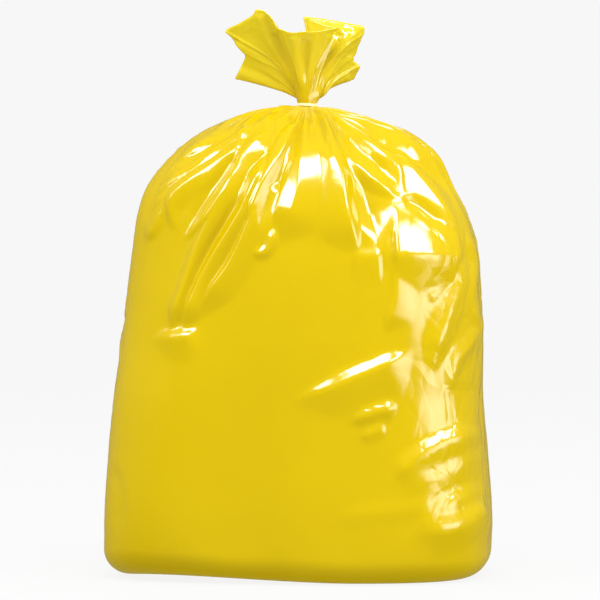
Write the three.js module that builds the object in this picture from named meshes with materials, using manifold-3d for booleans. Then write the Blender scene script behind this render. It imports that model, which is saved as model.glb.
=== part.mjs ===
// A filled refuse sack that stands on the floor, with its neck gathered under a narrow tie.
// The film above the tie flares out into an open ruffle of loose pleats.
// Sizes are in millimetres. +X is to the right as seen from the front, -Y is towards the viewer, +Z is up.
// The origin is the middle of the base, on the floor.

import * as THREE from "three";
import { mergeVertices } from "three/addons/utils/BufferGeometryUtils.js";
import Module from "manifold-3d";

// The filled body. This width and depth fit a girth of 1400 mm, which is a tube that lies flat at 700 mm.
const BODY_WIDTH = 505;
const BODY_DEPTH = 339;
const BODY_YAW_DEG = 6; // the right-hand side stands a little nearer to the viewer
const BASE_EDGE_RADIUS = 34;
const BASE_SQUARENESS = 3; // exponent of the base's outline: 2 is an ellipse, more is boxier
const SHOULDER_SQUARENESS = 2.1;

// The neck and its tie.
const NECK_HEIGHT = 614; // from the floor to the middle of the tie
const NECK_DIAMETER = 23;
const NECK_SHIFT_RIGHT = 12; // the neck sits to the right of the base's middle
const TIE_WIDTH = 3.4;
const TIE_THICKNESS = 1.5;
const TIE_CLEARANCE = 0.3;
const TIE_TAIL_LENGTH = 14; // the twisted ends of the tie, at the back
const TIE_TAIL_DIAMETER = 3.2;
const TIE_TAIL_TIP_DIAMETER = 2.5;
const TIE_TAIL_RISE_DEG = 24;

// The ruffle of film above the tie.
const RUFFLE_HEIGHT = 123; // from the middle of the tie to the highest tip
const RUFFLE_WIDTH = 180;
const RUFFLE_DEPTH = 112;
const RUFFLE_WALL = 1.6; // stands in for film of about 0.05 mm
const RUFFLE_SPREAD = 1.35; // exponent of the way outwards: over 1, the film leaves the neck steeply
const RUFFLE_CLIMB = 0.66; // exponent of the way up: under 1, it climbs first and leans out later
const MOUTH_BOTTOM = 0.52; // share of the way up the ruffle at which its pleats part and the mouth begins
const MOUTH_TOP = 0.985; // the rim's inner edge lies this share of the way up, just below its outer edge

// The folds of the front. The highest crest and the widest flank, which the table of folds gives shares of.
const FOLD_HEIGHT = 14;
const FOLD_FLANK = 50;
const CREST_ROUNDING = 1.2; // how blunt a crest is
const NECK_CALM = 45; // the folds grow from nothing over this distance from the neck

// The pleats that run down the back from the neck. The heights are shares of the neck's height.
const PLEAT_COUNT = 15;
const PLEAT_DEPTH = 9;
const PLEATS_START = 0.62;
const PLEATS_DEEPEST_FROM = 0.93;
const PLEATS_DEEPEST_TO = 0.95;
const PLEATS_END = 0.995;

// How finely the film is faceted.
const COLUMNS_PER_RIM_POINT = 3;
const BASE_EDGE_STEPS = 4;
const BODY_STEPS = 34;
const BODY_STEPS_LEAN = 0.7; // exponent of the steps' spacing: under 1, they lie closer towards the neck
const RUFFLE_STEPS = 8;
const MOUTH_STEPS = 4;
const TIE_SIDES = 48;
const TIE_TAIL_SIDES = 8;

// The body's outline, seen from the front, from the widest place up to the neck: height as a share of the
// neck's height, then the reach to the left and to the right as shares of half the body's width.
const OUTLINE = [
  [0.141, 1.0, 1.0],
  [0.261, 0.984, 0.979],
  [0.38, 0.959, 0.959],
  [0.5, 0.917, 0.965],
  [0.62, 0.881, 0.955],
  [0.709, 0.855, 0.927],
  [0.769, 0.834, 0.881],
  [0.829, 0.782, 0.798],
  [0.889, 0.663, 0.699],
  [0.934, 0.53, 0.56],
  [0.962, 0.39, 0.395],
  [0.981, 0.22, 0.235],
];

// The folds that the gathered neck pulls in the front. Each is a tent of film, with two flat flanks that meet in
// a crest, or in a crease where its height is below 0. Its line is seen from the front, as shares of half the
// body's width and of the neck's height. Its flanks lie on the left hand and on the right hand of the line's
// way, and it fades in and out over a share of its length at each end.
const FRONT_FOLDS = {
  leftOuterRidge: {
    line: [[0.01, 0.992], [-0.182, 0.967], [-0.364, 0.933], [-0.53, 0.894], [-0.657, 0.855]],
    height: 0.57,
    flanks: [0.26, 0.23],
    fades: [0.12, 0.3],
  },
  leftRimRidge: {
    line: [[0, 0.988], [-0.242, 0.942], [-0.465, 0.89], [-0.657, 0.83], [-0.788, 0.771]],
    height: 0.64,
    flanks: [0.31, 0.28],
    fades: [0.12, 0.3],
  },
  leftLoopRidge: {
    line: [[-0.242, 0.925], [-0.424, 0.871], [-0.576, 0.825], [-0.637, 0.788], [-0.616, 0.726]],
    height: 0.64,
    flanks: [0.31, 0.26],
    fades: [0.12, 0.3],
  },
  leftLobeRidge: {
    line: [[-0.151, 0.938], [-0.273, 0.888], [-0.374, 0.813], [-0.475, 0.755], [-0.596, 0.715]],
    height: 0.79,
    flanks: [0.36, 0.31],
    fades: [0.12, 0.3],
  },
  longLobeLeft: {
    line: [[-0.293, 0.863], [-0.414, 0.776], [-0.5, 0.705], [-0.566, 0.622], [-0.616, 0.559], [-0.606, 0.522]],
    height: 0.71,
    flanks: [0.31, 0.23],
    fades: [0.12, 0.3],
  },
  longLobeRight: {
    line: [[-0.151, 0.884], [-0.278, 0.778], [-0.404, 0.692], [-0.495, 0.626], [-0.566, 0.555], [-0.596, 0.522]],
    height: 0.86,
    flanks: [0.38, 0.28],
    fades: [0.12, 0.3],
  },
  broadBand: {
    line: [[-0.131, 0.863], [-0.242, 0.746], [-0.333, 0.667], [-0.434, 0.609], [-0.546, 0.539]],
    height: 0.79,
    flanks: [0.51, 0.23],
    fades: [0.12, 0.3],
  },
  innerLeftRidge: {
    line: [[0.02, 0.983], [-0.071, 0.904], [-0.172, 0.83], [-0.237, 0.767], [-0.258, 0.701]],
    height: 0.93,
    flanks: [0.31, 0.28],
    fades: [0.12, 0.3],
  },
  innerLeftPocket: {
    line: [[0, 0.958], [-0.071, 0.884], [-0.151, 0.8], [-0.182, 0.726]],
    height: -0.5,
    flanks: [0.26, 0.26],
    fades: [0.12, 0.3],
  },
  centreLeftEdge: {
    line: [[0.041, 0.983], [0.02, 0.904], [0, 0.821], [-0.04, 0.763], [-0.111, 0.705]],
    height: 1,
    flanks: [0.87, 0.51],
    fades: [0.12, 0.3],
  },
  centreBrow: {
    line: [[-0.03, 0.884], [0.071, 0.879], [0.172, 0.867], [0.263, 0.834]],
    height: 1,
    flanks: [0.82, 2.15],
    fades: [0.15, 0.15],
  },
  centreRightEdge: {
    line: [[0.101, 0.983], [0.172, 0.925], [0.217, 0.863], [0.243, 0.784], [0.283, 0.722], [0.314, 0.672]],
    height: 0.93,
    flanks: [0.23, 0.97],
    fades: [0.12, 0.3],
  },
  rightPocketCrease: {
    line: [[0.132, 0.983], [0.263, 0.904], [0.324, 0.821], [0.374, 0.746], [0.394, 0.688]],
    height: -0.57,
    flanks: [0.33, 0.33],
    fades: [0.12, 0.3],
  },
  rightPocketSide: {
    line: [[0.374, 0.888], [0.435, 0.834], [0.47, 0.771], [0.465, 0.709], [0.415, 0.688]],
    height: 0.5,
    flanks: [0.41, 0.26],
    fades: [0.12, 0.3],
  },
  rightFanUpper: {
    line: [[0.152, 0.988], [0.273, 0.95], [0.415, 0.904], [0.506, 0.867], [0.531, 0.805]],
    height: 0.5,
    flanks: [0.23, 0.2],
    fades: [0.12, 0.3],
  },
  rightFanLower: {
    line: [[0.132, 0.985], [0.228, 0.919], [0.344, 0.861], [0.465, 0.815], [0.531, 0.803]],
    height: 0.5,
    flanks: [0.23, 0.2],
    fades: [0.12, 0.3],
  },
  rightPatchStep: {
    line: [[0.384, 0.684], [0.506, 0.684], [0.667, 0.684], [0.839, 0.678]],
    height: 0.79,
    flanks: [1.13, 0.87],
    fades: [0.2, 0.2],
  },
  rightShoulderRidge: {
    line: [[0.485, 0.904], [0.596, 0.85], [0.718, 0.788], [0.799, 0.73], [0.859, 0.68]],
    height: 0.5,
    flanks: [0.26, 0.31],
    fades: [0.12, 0.3],
  },

};

// The ruffle's rim, point by point round the neck: shares of half the ruffle's width and depth, measured from
// the neck, and of its height. It starts at the upper left tip and comes round by the front.
const RIM = [
  [-1.18, -0.14, 0.787],
  [-0.98, -0.34, 0.861],
  [-0.79, -0.5, 0.946],
  [-0.74, -0.57, 1.0],
  [-0.6, -0.62, 0.979],
  [-0.51, -0.66, 0.904],
  [-0.44, -0.72, 0.819],
  [-0.25, -0.83, 0.757],
  [-0.05, -0.89, 0.766],
  [0.19, -0.84, 0.776],
  [0.46, -0.58, 0.819],
  [0.32, -0.36, 0.84],
  [0.16, -0.18, 0.88],
  [0.02, -0.02, 0.92],
  [-0.05, 0.12, 0.936],
  [0.12, 0.2, 0.925],
  [0.33, 0.16, 0.904],
  [0.6, 0.06, 0.865],
  [0.82, 0.0, 0.829],
  [0.8, 0.13, 0.73],
  [0.75, 0.24, 0.638],
  [0.71, 0.34, 0.542],
  [0.66, 0.4, 0.478],
  [0.77, 0.5, 0.414],
  [0.72, 0.62, 0.33],
  [0.66, 0.72, 0.27],
  [0.5, 0.8, 0.36],
  [0.3, 0.76, 0.52],
  [0.1, 0.86, 0.66],
  [-0.1, 1.0, 0.73],
  [-0.28, 0.84, 0.69],
  [-0.46, 0.92, 0.62],
  [-0.68, 0.86, 0.5],
  [-0.9, 0.72, 0.36],
  [-1.05, 0.5, 0.276],
  [-0.96, 0.3, 0.414],
  [-0.9, 0.13, 0.532],
  [-1.0, 0.02, 0.62],
  [-1.1, -0.06, 0.71],
];

// The lowest point inside the ruffle's mouth, in the same shares.
const MOUTH_MIDDLE = [-0.1, 0.09, 0.33];

const COLUMNS = RIM.length * COLUMNS_PER_RIM_POINT;
const FIRST_ANGLE = Math.PI; // the first column runs up the left side, and the rest follow by the front

const columnAngle = (column) => FIRST_ANGLE + (2 * Math.PI * column) / COLUMNS;

// A ring is one closed row of points round the sack, a point for each column.
const ringOf = (pointAt) => Array.from({ length: COLUMNS }, (_, column) => pointAt(column));

// A point of a level outline between an ellipse and a box, from its reach to the left, to the right and in
// depth.
function levelPoint(angle, height, left, right, depth, squareness, swell = 0) {
  const round = 2 / squareness;
  const across = Math.sign(Math.cos(angle)) * Math.abs(Math.cos(angle)) ** round;
  const along = Math.sign(Math.sin(angle)) * Math.abs(Math.sin(angle)) ** round;
  const half = (left + right) / 2;
  const grow = 1 + swell / half;
  const x = across * half * grow;
  const y = along * depth * grow;
  const yaw = THREE.MathUtils.degToRad(-BODY_YAW_DEG);
  return new THREE.Vector3(
    (right - left) / 2 + x * Math.cos(yaw) - y * Math.sin(yaw),
    x * Math.sin(yaw) + y * Math.cos(yaw),
    height,
  );
}

// The pleats of the back: deep just outside the neck, and gone where the body is full. They are unevenly
// spaced.
function pleatSwell(angle, share) {
  const back = THREE.MathUtils.smoothstep(Math.sin(angle), -0.35, 0.1);
  const rise = THREE.MathUtils.smoothstep(share, PLEATS_START, PLEATS_DEEPEST_FROM);
  const fall = 1 - THREE.MathUtils.smoothstep(share, PLEATS_DEEPEST_TO, PLEATS_END);
  const uneven = PLEAT_COUNT * angle + 1.6 * Math.sin(2 * angle + 0.7) + 1.1 * Math.sin(3 * angle);
  return -PLEAT_DEPTH * back * rise * fall * (0.5 + 0.5 * Math.cos(uneven));
}

// The flat base and the rounded edge round it.
function baseRings() {
  const widest = OUTLINE[0];
  const reach = (BODY_WIDTH / 2) * widest[1];
  const rings = [];
  for (let step = 0; step <= BASE_EDGE_STEPS; step += 1) {
    const turn = (step / BASE_EDGE_STEPS) * (Math.PI / 2);
    const inset = BASE_EDGE_RADIUS * (1 - Math.sin(turn));
    const height = BASE_EDGE_RADIUS * (1 - Math.cos(turn));
    rings.push(
      ringOf((column) =>
        levelPoint(
          columnAngle(column),
          height,
          reach - inset,
          reach - inset,
          BODY_DEPTH / 2 - inset,
          BASE_SQUARENESS,
        ),
      ),
    );
  }
  return rings;
}

// How boxy the outline is at a share of the neck's height: boxy at the base, rounder at the shoulders, and
// round at the neck.
function squarenessAt(share) {
  const { lerp, smoothstep } = THREE.MathUtils;
  const side = lerp(BASE_SQUARENESS, SHOULDER_SQUARENESS, smoothstep(share, 0.1, 0.8));
  return lerp(side, 2, smoothstep(share, 0.7, 1));
}

// The side and the shoulders, from just above the base's edge up to the neck.
function bodyRings() {
  const { radius, bottom } = neckLand();
  const widest = BODY_WIDTH / 2;
  const stations = OUTLINE.map(
    ([share, left, right]) => new THREE.Vector3(left * widest, right * widest, share * NECK_HEIGHT),
  );
  stations.push(new THREE.Vector3(radius - NECK_SHIFT_RIGHT, radius + NECK_SHIFT_RIGHT, bottom));
  const outline = new THREE.CatmullRomCurve3(stations, false, "centripetal");
  const rings = [];
  for (let step = 0; step < BODY_STEPS; step += 1) {
    const { x: left, y: right, z: height } = outline.getPointAt((step / BODY_STEPS) ** BODY_STEPS_LEAN);
    const share = height / bottom;
    const fullness = ((left + right) / 2 - radius) / (widest - radius);
    const depth = THREE.MathUtils.lerp(radius, BODY_DEPTH / 2, fullness);
    const squareness = squarenessAt(share);
    rings.push(
      ringOf((column) => {
        const angle = columnAngle(column);
        return levelPoint(angle, height, left, right, depth, squareness, pleatSwell(angle, share));
      }),
    );
  }
  return rings;
}

// A fold's line as short straight steps, in millimetres.
function stepsOf(line) {
  const corners = line.map(
    ([across, up]) => new THREE.Vector2((across * BODY_WIDTH) / 2, up * NECK_HEIGHT),
  );
  return new THREE.SplineCurve(corners).getPoints(5 * corners.length);
}

// Where a point of the front view lies from a line: how far off, on which hand, and how far along.
function placeBy(point, steps) {
  let nearest = { distance: Infinity, leftHand: true, way: 0 };
  for (let index = 0; index + 1 < steps.length; index += 1) {
    const step = steps[index + 1].clone().sub(steps[index]);
    const offset = point.clone().sub(steps[index]);
    const t = THREE.MathUtils.clamp(offset.dot(step) / step.lengthSq(), 0, 1);
    const distance = offset.distanceTo(step.clone().multiplyScalar(t));
    if (distance < nearest.distance)
      nearest = { distance, leftHand: step.cross(offset) > 0, way: (index + t) / (steps.length - 1) };
  }
  return nearest;
}

// The height of one fold at a point of the front view.
function foldAt(point, { steps, height, flanks, fades }) {
  const { smoothstep } = THREE.MathUtils;
  const { distance, leftHand, way } = placeBy(point, steps);
  const flank = FOLD_FLANK * flanks[leftHand ? 0 : 1];
  const blunt = Math.hypot(distance, CREST_ROUNDING) - CREST_ROUNDING;
  const tent = Math.max(0, 1 - blunt / flank);
  const fade = smoothstep(way, -fades[0] / 2, fades[0]) * (1 - smoothstep(way, 1 - fades[1], 1));
  return FOLD_HEIGHT * Math.abs(height) * tent * fade;
}

// The rows of the body with the folds of the front raised, square to the film. The last row stays as it is.
function foldedRows(rows) {
  const folds = Object.values(FRONT_FOLDS).map((fold) => ({ ...fold, steps: stepsOf(fold.line) }));
  const crests = folds.filter(({ height }) => height > 0);
  const creases = folds.filter(({ height }) => height < 0);
  const highest = (point, kind) => Math.max(...kind.map((fold) => foldAt(point, fold)));
  const neck = new THREE.Vector3(NECK_SHIFT_RIGHT, 0, neckLand().bottom);
  return rows.slice(0, -1).map((row, index) => {
    const [below, above] = [rows[Math.max(index - 1, 0)], rows[index + 1]];
    return row.map((point, column) => {
      const along = row[(column + 1) % COLUMNS].clone().sub(row[(column + COLUMNS - 1) % COLUMNS]);
      const outward = along.cross(above[column].clone().sub(below[column])).normalize();
      const facing = THREE.MathUtils.smoothstep(-outward.y, -0.05, 0.25);
      if (facing === 0) return point;
      const seen = new THREE.Vector2(point.x, point.z);
      const calm = THREE.MathUtils.smoothstep(point.distanceTo(neck) - NECK_DIAMETER / 2, 0, NECK_CALM);
      const lift = (highest(seen, crests) - highest(seen, creases)) * facing * calm;
      return point.clone().addScaledVector(outward, lift);
    });
  });
}

// The straight part of the neck, which the tie closes round.
function neckLand() {
  const reach = TIE_WIDTH / 2 + TIE_CLEARANCE;
  return { radius: NECK_DIAMETER / 2, bottom: NECK_HEIGHT - reach, top: NECK_HEIGHT + reach };
}

function neckRing(height) {
  const { radius } = neckLand();
  return ringOf((column) => {
    const angle = columnAngle(column);
    return new THREE.Vector3(NECK_SHIFT_RIGHT + radius * Math.cos(angle), radius * Math.sin(angle), height);
  });
}

// A row of the ruffle's outside, at a share of the way from the neck to the rim. The film leaves the neck
// steeply and then leans out.
function ruffleRow(share, rim) {
  const { top } = neckLand();
  const spread = share ** RUFFLE_SPREAD;
  const climb = share ** RUFFLE_CLIMB;
  return neckRing(top).map((foot, column) => {
    const tip = rim[column];
    return new THREE.Vector3(
      THREE.MathUtils.lerp(foot.x, tip.x, spread),
      THREE.MathUtils.lerp(foot.y, tip.y, spread),
      THREE.MathUtils.lerp(foot.z, tip.z, climb),
    );
  });
}

// A point of the ruffle, from its shares of half the width, of half the depth and of the height.
function rufflePoint([across, along, up]) {
  return new THREE.Vector3(
    NECK_SHIFT_RIGHT + (across * RUFFLE_WIDTH) / 2,
    (along * RUFFLE_DEPTH) / 2,
    NECK_HEIGHT + up * RUFFLE_HEIGHT,
  );
}

function rimRow() {
  const rim = new THREE.CatmullRomCurve3(RIM.map(rufflePoint), true, "centripetal");
  return ringOf((column) => rim.getPoint(column / COLUMNS));
}

// A row of the ruffle's inside: a row of its outside, set in square to the film by the wall's thickness.
function mouthRow(share, rim) {
  const row = ruffleRow(share, rim);
  const lower = ruffleRow(share - 0.5 / RUFFLE_STEPS, rim);
  return row.map((point, column) => {
    const before = row[(column + COLUMNS - 1) % COLUMNS];
    const after = row[(column + 1) % COLUMNS];
    const along = after.clone().sub(before);
    const upwards = point.clone().sub(lower[column]);
    return point.clone().addScaledVector(upwards.cross(along).normalize(), RUFFLE_WALL);
  });
}

// The rows of the whole film, from the base's edge over the rim and down inside the mouth.
function filmRows() {
  const land = neckLand();
  const rim = rimRow();
  const body = foldedRows([...bodyRings(), neckRing(land.bottom)]);
  const rows = [...baseRings(), ...body, neckRing(land.bottom), neckRing(land.top)];
  for (let step = 1; step <= RUFFLE_STEPS; step += 1) rows.push(ruffleRow(step / RUFFLE_STEPS, rim));
  for (let step = MOUTH_STEPS; step >= 0; step -= 1)
    rows.push(mouthRow(THREE.MathUtils.lerp(MOUTH_BOTTOM, MOUTH_TOP, step / MOUTH_STEPS), rim));
  return rows;
}

function filmGeometry() {
  const rows = filmRows();
  const points = rows.flat();
  const triangles = [];
  const at = (row, column) => row * COLUMNS + (column % COLUMNS);
  for (let row = 0; row + 1 < rows.length; row += 1)
    for (let column = 0; column < COLUMNS; column += 1) {
      triangles.push([at(row, column), at(row, column + 1), at(row + 1, column + 1)]);
      triangles.push([at(row, column), at(row + 1, column + 1), at(row + 1, column)]);
    }
  // the base and the bottom of the mouth are fans
  const base = points.push(new THREE.Vector3(0, 0, 0)) - 1;
  const mouth = points.push(rufflePoint(MOUTH_MIDDLE)) - 1;
  const last = rows.length - 1;
  for (let column = 0; column < COLUMNS; column += 1) {
    triangles.push([base, at(0, column + 1), at(0, column)]);
    triangles.push([mouth, at(last, column), at(last, column + 1)]);
  }
  const geometry = new THREE.BufferGeometry().setFromPoints(points);
  geometry.setIndex(triangles.flat());
  return geometry;
}

// The tie: a narrow band round the neck, with its ends twisted together at the back.
function bandGeometry() {
  const inner = NECK_DIAMETER / 2 + TIE_CLEARANCE;
  const outer = inner + TIE_THICKNESS;
  const edge = TIE_THICKNESS / 3;
  const half = TIE_WIDTH / 2;
  const profile = [
    [inner, -half],
    [outer - edge, -half],
    [outer, edge - half],
    [outer, half - edge],
    [outer - edge, half],
    [inner, half],
    [inner, -half],
  ].map(([radius, height]) => new THREE.Vector2(radius, height));
  return new THREE.LatheGeometry(profile, TIE_SIDES).rotateX(Math.PI / 2);
}

function tailGeometry() {
  const radius = NECK_DIAMETER / 2 + TIE_CLEARANCE + TIE_THICKNESS / 2;
  const [tip, root] = [TIE_TAIL_TIP_DIAMETER / 2, TIE_TAIL_DIAMETER / 2];
  return new THREE.CylinderGeometry(tip, root, TIE_TAIL_LENGTH, TIE_TAIL_SIDES)
    .translate(0, TIE_TAIL_LENGTH / 2, 0)
    .rotateX(THREE.MathUtils.degToRad(TIE_TAIL_RISE_DEG))
    .translate(0, radius, 0);
}

const wasm = await Module();
wasm.setup();

function solidOf(geometry) {
  const bare = geometry.clone();
  bare.deleteAttribute("normal");
  bare.deleteAttribute("uv");
  const merged = mergeVertices(bare, 1e-3);
  return new wasm.Manifold(
    new wasm.Mesh({
      numProp: 3,
      vertProperties: merged.attributes.position.array,
      triVerts: new Uint32Array(merged.index.array),
    }),
  );
}

function geometryOf(solid) {
  const { vertProperties, triVerts } = solid.getMesh();
  return new THREE.BufferGeometry()
    .setAttribute("position", new THREE.BufferAttribute(vertProperties, 3))
    .setIndex(new THREE.BufferAttribute(triVerts, 1));
}

function tieGeometry() {
  return geometryOf(solidOf(bandGeometry()).add(solidOf(tailGeometry())));
}

const film = new THREE.MeshStandardMaterial({ color: 0xf0cc00, roughness: 0.22, metalness: 0 });
const strip = new THREE.MeshStandardMaterial({ color: 0xf3e9a0, roughness: 0.35, metalness: 0 });

const sack = new THREE.Mesh(filmGeometry(), film);
sack.name = "sack";

const tie = new THREE.Mesh(tieGeometry(), strip);
tie.name = "neck_tie";
tie.position.set(NECK_SHIFT_RIGHT, 0, NECK_HEIGHT);

const filledSack = new THREE.Group();
filledSack.add(sack, tie);

export default filledSack;
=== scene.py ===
# %% [markdown]
# # A filled refuse sack
# The object is a tube of thin, glossy polyethylene film, sealed across the bottom. It is filled, stood on its
# base and closed with a narrow tie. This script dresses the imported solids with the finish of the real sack: one
# mesh for the whole film, two for the tie, two procedural materials and a soft studio light.

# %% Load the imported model
import math

import bpy
import numpy as np
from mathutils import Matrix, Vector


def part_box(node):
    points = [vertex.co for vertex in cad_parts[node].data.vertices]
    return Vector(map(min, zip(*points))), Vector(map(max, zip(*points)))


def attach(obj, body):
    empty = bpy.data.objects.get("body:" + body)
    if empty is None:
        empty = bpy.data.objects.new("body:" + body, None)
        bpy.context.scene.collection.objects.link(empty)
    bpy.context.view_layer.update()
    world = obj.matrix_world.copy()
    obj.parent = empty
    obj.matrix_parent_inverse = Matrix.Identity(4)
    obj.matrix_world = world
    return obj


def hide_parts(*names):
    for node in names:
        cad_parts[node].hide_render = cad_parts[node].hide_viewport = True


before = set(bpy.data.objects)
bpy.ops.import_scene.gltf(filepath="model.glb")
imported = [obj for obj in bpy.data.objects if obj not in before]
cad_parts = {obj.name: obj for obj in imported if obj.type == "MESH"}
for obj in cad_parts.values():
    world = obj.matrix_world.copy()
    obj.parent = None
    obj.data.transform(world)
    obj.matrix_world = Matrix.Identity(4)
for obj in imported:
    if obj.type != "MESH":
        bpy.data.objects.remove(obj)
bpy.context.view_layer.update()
print("packed nodes:", sorted(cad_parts))

# %% [markdown]
# ## The camera
# The sack was photographed from straight ahead, a little above the middle of its height, with a long lens. A
# long lens keeps the sides upright, so the camera stands far away and its view is narrow. The photograph is 600
# pixels square, and the same numbers turn any point of the sack into its pixel, which places the folds later.

# %% Place the camera
PHOTO_SIDE = 600  # pixels
METRES_PER_PIXEL = 0.001309  # at the sack's own distance
CAMERA_DISTANCE = 6.0
CAMERA_RISE_DEG = 2.0
AIM = np.array([0.0026, 0.0, 0.3587])  # the point that the photograph's centre shows
SENSOR_WIDTH = 36.0  # millimetres

rise = math.radians(CAMERA_RISE_DEG)
eye = AIM + CAMERA_DISTANCE * np.array([0.0, -math.cos(rise), math.sin(rise)])
view_width = PHOTO_SIDE * METRES_PER_PIXEL
lens_data = bpy.data.cameras.new("camera")
lens_data.sensor_width = SENSOR_WIDTH
lens_data.lens = SENSOR_WIDTH * CAMERA_DISTANCE / view_width
lens_data.clip_end = 60.0
camera = bpy.data.objects.new("camera", lens_data)
camera.location = eye
camera.rotation_euler = (math.pi / 2 - rise, 0.0, 0.0)
bpy.context.scene.collection.objects.link(camera)
bpy.context.scene.camera = camera
print(f"lens {lens_data.lens:.0f} mm at {CAMERA_DISTANCE} m, view {view_width * 1000:.0f} mm wide")


# %% Find the pixel of a point
def photo_pixel(points):
    """Each point's place in the photograph, as (across, down) in pixels."""
    forward = np.array([0.0, math.cos(rise), -math.sin(rise)])
    upward = np.array([0.0, math.sin(rise), math.cos(rise)])
    away = points - eye
    scale = CAMERA_DISTANCE / (away @ forward) / METRES_PER_PIXEL
    across = PHOTO_SIDE / 2 + away[..., 0] * scale
    down = PHOTO_SIDE / 2 - (away @ upward) * scale
    return np.stack([across, down], axis=-1)


print("the middle of the base is at pixel", photo_pixel(np.zeros((1, 3)))[0].round(1))

# %% [markdown]
# ## The form of the filled body
# Film has no shape of its own. It takes the shape of what fills it, so the body is a loft: a level outline at
# each height, boxy at the base and rounder towards the neck. The outline's reach to the left and to the right
# follows the sack's edge. Points lie closer together on the front and on the shoulders, where the folds are.

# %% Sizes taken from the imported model
sack_low, sack_high = (np.array(corner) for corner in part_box("sack"))
tie_low, tie_high = (np.array(corner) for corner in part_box("neck_tie"))

BODY_YAW = math.radians(-6.0)
BODY_HALF_WIDTH = 0.2525
BODY_HALF_DEPTH = 0.1695
BASE_EDGE_RADIUS = 0.034
BASE_SQUARENESS = 3.0
SHOULDER_SQUARENESS = 2.1
ROUND = 2.0  # the squareness of a circle or an ellipse
NECK_HEIGHT = 0.614
NECK_RADIUS = 0.0115
neck_x = (tie_low[0] + tie_high[0]) / 2
LAND_HALF_HEIGHT = 0.002  # the tie's band covers this stretch of the neck
print("neck at x", round(neck_x, 4), "m; the packed sack is", (sack_high - sack_low).round(4), "m")

# height as a share of the neck's height, then the reach to the left and to the right as shares of half the width
OUTLINE = np.array([
    (0.141, 1.0, 1.0),
    (0.261, 0.984, 0.979),
    (0.38, 0.959, 0.959),
    (0.5, 0.917, 0.965),
    (0.62, 0.881, 0.955),
    (0.709, 0.855, 0.927),
    (0.769, 0.834, 0.881),
    (0.829, 0.782, 0.798),
    (0.889, 0.663, 0.699),
    (0.934, 0.53, 0.56),
    (0.962, 0.39, 0.395),
    (0.981, 0.22, 0.235),
])

COLUMNS = 380
COLUMN_SQUARENESS = 2.5  # of the outline that the columns are spaced on
BASE_ROWS = 12
BODY_ROWS = 200
RUFFLE_ROWS = 34
MOUTH_ROWS = 14
FRONT_DENSITY = 2.6  # how much closer the columns stand on the front than on the back
ROW_CROWDING = 0.72  # below 1, the body's rows stand closer together towards the neck


# %% Draw smooth curves through a few points
def smooth_curve(points, shares, closed=False):
    """A Catmull-Rom curve through the points, sampled at the given shares of its way, point by point."""
    points = np.asarray(points, float)
    count = len(points)
    spans = count if closed else count - 1
    place = np.clip(np.asarray(shares) * spans, 0, spans - 1e-9)
    first = place.astype(int)
    t = (place - first)[:, None]

    def pick(offset):
        index = first + offset
        return points[index % count] if closed else points[np.clip(index, 0, count - 1)]

    before, start, end, after = pick(-1), pick(0), pick(1), pick(2)
    cubic = 3 * (start - end) + after - before
    square = 2 * before - 5 * start + 4 * end - after
    return start + 0.5 * t * (end - before + t * (square + t * cubic))


def evenly(curve):
    """Shares of the curve's way that stand at even distances along it, given a dense run of its points."""
    steps = np.linalg.norm(np.diff(curve, axis=0), axis=1)
    return np.concatenate([[0.0], np.cumsum(steps)]) / steps.sum()


def smoothstep(value, low, high):
    t = np.clip((value - low) / (high - low), 0.0, 1.0)
    return t * t * (3.0 - 2.0 * t)


# %% Space the columns round the sack
def level_outline(angles, left, right, depth, squareness):
    """A level outline between an ellipse and a box, turned by the body's yaw."""
    power = 2.0 / squareness
    half = (left + right) / 2
    across = np.sign(np.cos(angles)) * np.abs(np.cos(angles)) ** power * half
    along = np.sign(np.sin(angles)) * np.abs(np.sin(angles)) ** power * depth
    x = (right - left) / 2 + across * math.cos(BODY_YAW) - along * math.sin(BODY_YAW)
    y = across * math.sin(BODY_YAW) + along * math.cos(BODY_YAW)
    return x, y


dense_angles = np.pi + np.linspace(0.0, 2 * np.pi, 6001)
dense_x, dense_y = level_outline(
    dense_angles, BODY_HALF_WIDTH, BODY_HALF_WIDTH, BODY_HALF_DEPTH, COLUMN_SQUARENESS
)
dense_steps = np.hypot(np.diff(dense_x), np.diff(dense_y))
frontness = smoothstep(-np.sin((dense_angles[1:] + dense_angles[:-1]) / 2), -0.35, 0.25)
density = 1 + (FRONT_DENSITY - 1) * frontness
weight = np.concatenate([[0.0], np.cumsum(dense_steps * density)])
column_share = np.arange(COLUMNS) / COLUMNS
column_angle = np.interp(column_share, weight / weight[-1], dense_angles)
neck_angle = np.pi + 2 * np.pi * column_share
print("columns on the front:", int((np.sin(column_angle) < 0).sum()), "of", COLUMNS)


# %% Loft the base and the body
def base_rows():
    rows = []
    for turn in np.linspace(0.0, math.pi / 2, BASE_ROWS, endpoint=False):
        inset = BASE_EDGE_RADIUS * (1 - math.sin(turn))
        reach = BODY_HALF_WIDTH - inset
        x, y = level_outline(column_angle, reach, reach, BODY_HALF_DEPTH - inset, BASE_SQUARENESS)
        z = np.full(COLUMNS, BASE_EDGE_RADIUS * (1 - math.cos(turn)))
        rows.append(np.stack([x, y, z], axis=-1))
    return rows


PLEAT_COUNT = 15
PLEAT_DEPTH = 0.009


def pleat_swell(angles, share):
    """The pleats of the back: deep just outside the neck, and gone where the body is full."""
    back = smoothstep(np.sin(angles), -0.35, 0.1)
    rise = smoothstep(share, 0.62, 0.93) * (1 - smoothstep(share, 0.95, 0.995))
    uneven = PLEAT_COUNT * angles + 1.6 * np.sin(2 * angles + 0.7) + 1.1 * np.sin(3 * angles)
    return -PLEAT_DEPTH * back * rise * (0.5 + 0.5 * np.cos(uneven))


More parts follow.
